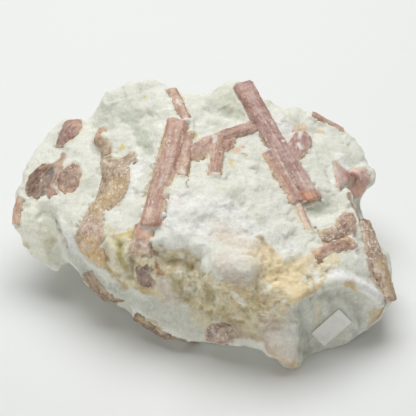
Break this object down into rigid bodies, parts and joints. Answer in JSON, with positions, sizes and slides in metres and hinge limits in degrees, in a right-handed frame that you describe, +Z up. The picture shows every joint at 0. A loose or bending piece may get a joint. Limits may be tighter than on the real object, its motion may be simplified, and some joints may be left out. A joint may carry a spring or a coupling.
{
  "type": "rubellite specimen",
  "caption": "Hand-sized block of pale feldspar rock set with long ribbed pink tourmaline prisms, resting on one flat face.",
  "frame": {"origin": "centre of the specimen's bounding box in plan, at the height of the resting face", "axes": "+X along the longest side, towards the end with the paper label's hollow; +Y to the back; +Z up, away from the resting face"},
  "size_m": [0.1374, 0.1106, 0.0602],
  "materials": {
    "tan_tourmaline": "satin, striated",
    "mauve_tourmaline": "satin, striated",
    "brown_tourmaline": "satin, striated",
    "wine_tourmaline": "satin, striated",
    "rose_tourmaline": "satin, striated",
    "ochre_tourmaline": "satin, striated",
    "feldspar_matrix": "rough broken, sugary, satin",
    "label_paper": "matt"
  },
  "bodies": {
    "root": {"back_rim_crystal": "tan_tourmaline", "cross_prism": "mauve_tourmaline", "curved_crystal": "brown_tourmaline", "dark_crystal": "wine_tourmaline", "foot_crystal": "mauve_tourmaline", "forked_crystal": "rose_tourmaline", "front_left_chunk": "wine_tourmaline", "left_band_crystal": "ochre_tourmaline", "left_edge_crystal": "tan_tourmaline", "left_prism": "rose_tourmaline", "low_front_crystal": "brown_tourmaline", "low_left_crystal": "brown_tourmaline", "lower_right_crystal": "brown_tourmaline", "matrix": "feldspar_matrix", "orange_rimmed_prism": "brown_tourmaline", "paper_label": "label_paper", "ridge_crystal": "tan_tourmaline", "right_cluster": "wine_tourmaline", "right_edge_prism": "brown_tourmaline", "right_prism": "mauve_tourmaline", "round_crystal": "brown_tourmaline", "upper_left_crystal": "tan_tourmaline"}
  },
  "joints": []
}
